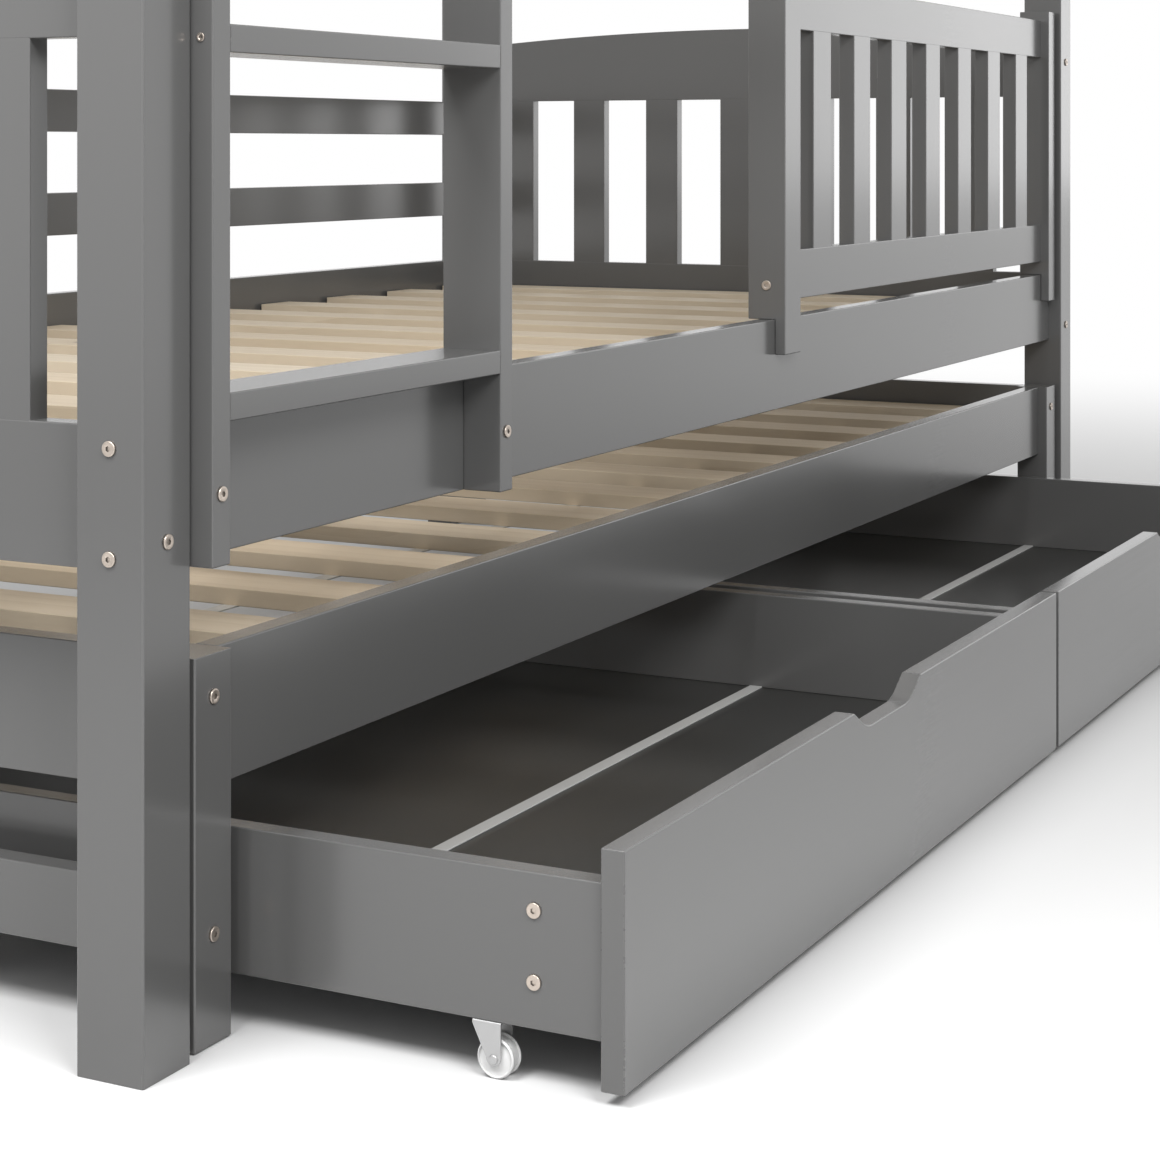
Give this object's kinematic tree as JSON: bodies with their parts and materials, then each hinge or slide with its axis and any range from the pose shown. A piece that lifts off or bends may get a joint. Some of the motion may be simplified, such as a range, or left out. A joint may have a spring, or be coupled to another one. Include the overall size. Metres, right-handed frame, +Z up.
{
  "type": "bunk bed with trundle",
  "caption": "Slatted wooden bunk bed with a ladder and front guards, a low guest bed that slides out from under it, and drawers on castors below.",
  "frame": {"origin": "middle of the left front post's foot, on the floor", "axes": "+X along the bed to its right end, +Y from the front to the back, +Z up"},
  "size_m": [2.08, 1.2424, 1.64],
  "materials": {
    "grey_paint": "satin grey paint on solid pine",
    "grey_panel": "smooth grey fibreboard with a satin sheen",
    "bare_pine": "planed pine, bare",
    "white_nylon": "moulded white plastic",
    "zinc_steel": "zinc-plated pressed sheet"
  },
  "bodies": {
    "bed_frame": {"post_front_left": "grey_paint", "post_back_left": "grey_paint", "post_front_right": "grey_paint", "post_back_right": "grey_paint", "lower_side_rail_front": "grey_paint", "lower_side_rail_back": "grey_paint", "lower_end_panel_left": "grey_paint", "lower_end_panel_right": "grey_paint", "lower_back_guard_rail_1": "grey_paint", "lower_back_guard_rail_2": "grey_paint", "lower_slat_base": "bare_pine", "lower_front_guard": "grey_paint", "upper_side_rail_front": "grey_paint", "upper_side_rail_back": "grey_paint", "upper_end_panel_left": "grey_paint", "upper_end_panel_right": "grey_paint", "upper_back_guard_rail_1": "grey_paint", "upper_back_guard_rail_2": "grey_paint", "upper_slat_base": "bare_pine", "upper_front_guard": "grey_paint", "ladder_stile_left": "grey_paint", "ladder_stile_right": "grey_paint", "ladder_tread_1": "grey_paint", "ladder_tread_2": "grey_paint", "ladder_tread_3": "grey_paint", "ladder_tread_4": "grey_paint"},
    "guest_bed": {"guest_leg_front_left": "grey_paint", "guest_leg_back_left": "grey_paint", "guest_end_board_left": "grey_paint", "guest_end_stretcher_left": "grey_paint", "guest_leg_front_right": "grey_paint", "guest_leg_back_right": "grey_paint", "guest_end_board_right": "grey_paint", "guest_end_stretcher_right": "grey_paint", "guest_rail_front": "grey_paint", "guest_rail_back": "grey_paint", "guest_slat_base": "bare_pine"},
    "drawer_1": {"drawer_1_front": "grey_paint", "drawer_1_sides_and_back": "grey_paint", "drawer_1_bottom": "grey_panel", "drawer_1_fork_front_left": "zinc_steel", "drawer_1_fork_front_right": "zinc_steel", "drawer_1_fork_back_left": "zinc_steel", "drawer_1_fork_back_right": "zinc_steel"},
    "drawer_1_wheel_front_left": {"drawer_1_wheel_front_left": "white_nylon"},
    "drawer_1_wheel_front_right": {"drawer_1_wheel_front_right": "white_nylon"},
    "drawer_1_wheel_back_left": {"drawer_1_wheel_back_left": "white_nylon"},
    "drawer_1_wheel_back_right": {"drawer_1_wheel_back_right": "white_nylon"},
    "drawer_2": {"drawer_2_front": "grey_paint", "drawer_2_sides_and_back": "grey_paint", "drawer_2_bottom": "grey_panel", "drawer_2_fork_front_left": "zinc_steel", "drawer_2_fork_front_right": "zinc_steel", "drawer_2_fork_back_left": "zinc_steel", "drawer_2_fork_back_right": "zinc_steel"},
    "drawer_2_wheel_front_left": {"drawer_2_wheel_front_left": "white_nylon"},
    "drawer_2_wheel_front_right": {"drawer_2_wheel_front_right": "white_nylon"},
    "drawer_2_wheel_back_left": {"drawer_2_wheel_back_left": "white_nylon"},
    "drawer_2_wheel_back_right": {"drawer_2_wheel_back_right": "white_nylon"}
  },
  "joints": [
    {"name": "guest_bed_slide", "type": "slide", "parent": "bed_frame", "child": "guest_bed", "axis": [0, -1, 0], "range_m": [0, 0.918]},
    {"name": "drawer_1_slide", "type": "slide", "parent": "bed_frame", "child": "drawer_1", "axis": [0, -1, 0], "range_m": [-0.2784, 0.3]},
    {"name": "drawer_1_wheel_front_left_spin", "type": "hinge", "parent": "drawer_1", "child": "drawer_1_wheel_front_left", "pos_m": [0.09375, -0.207, 0.0128], "axis": [1, 0, 0], "continuous": true},
    {"name": "drawer_1_wheel_front_right_spin", "type": "hinge", "parent": "drawer_1", "child": "drawer_1_wheel_front_right", "pos_m": [0.99925, -0.207, 0.0128], "axis": [1, 0, 0], "continuous": true},
    {"name": "drawer_1_wheel_back_left_spin", "type": "hinge", "parent": "drawer_1", "child": "drawer_1_wheel_back_left", "pos_m": [0.09375, 0.2162, 0.0128], "axis": [1, 0, 0], "continuous": true},
    {"name": "drawer_1_wheel_back_right_spin", "type": "hinge", "parent": "drawer_1", "child": "drawer_1_wheel_back_right", "pos_m": [0.99925, 0.2162, 0.0128], "axis": [1, 0, 0], "continuous": true},
    {"name": "drawer_2_slide", "type": "slide", "parent": "bed_frame", "child": "drawer_2", "axis": [0, -1, 0], "range_m": [-0.2784, 0.3]},
    {"name": "drawer_2_wheel_front_left_spin", "type": "hinge", "parent": "drawer_2", "child": "drawer_2_wheel_front_left", "pos_m": [1.03225, -0.207, 0.0128], "axis": [1, 0, 0], "continuous": true},
    {"name": "drawer_2_wheel_front_right_spin", "type": "hinge", "parent": "drawer_2", "child": "drawer_2_wheel_front_right", "pos_m": [1.93775, -0.207, 0.0128], "axis": [1, 0, 0], "continuous": true},
    {"name": "drawer_2_wheel_back_left_spin", "type": "hinge", "parent": "drawer_2", "child": "drawer_2_wheel_back_left", "pos_m": [1.03225, 0.2162, 0.0128], "axis": [1, 0, 0], "continuous": true},
    {"name": "drawer_2_wheel_back_right_spin", "type": "hinge", "parent": "drawer_2", "child": "drawer_2_wheel_back_right", "pos_m": [1.93775, 0.2162, 0.0128], "axis": [1, 0, 0], "continuous": true}
  ],
  "couplings": [
    {"joint": "drawer_1_wheel_front_left_spin", "follows": "drawer_1_slide", "rad_per_m": 78.125},
    {"joint": "drawer_1_wheel_front_right_spin", "follows": "drawer_1_slide", "rad_per_m": 78.125},
    {"joint": "drawer_1_wheel_back_left_spin", "follows": "drawer_1_slide", "rad_per_m": 78.125},
    {"joint": "drawer_1_wheel_back_right_spin", "follows": "drawer_1_slide", "rad_per_m": 78.125},
    {"joint": "drawer_2_wheel_front_left_spin", "follows": "drawer_2_slide", "rad_per_m": 78.125},
    {"joint": "drawer_2_wheel_front_right_spin", "follows": "drawer_2_slide", "rad_per_m": 78.125},
    {"joint": "drawer_2_wheel_back_left_spin", "follows": "drawer_2_slide", "rad_per_m": 78.125},
    {"joint": "drawer_2_wheel_back_right_spin", "follows": "drawer_2_slide", "rad_per_m": 78.125}
  ]
}
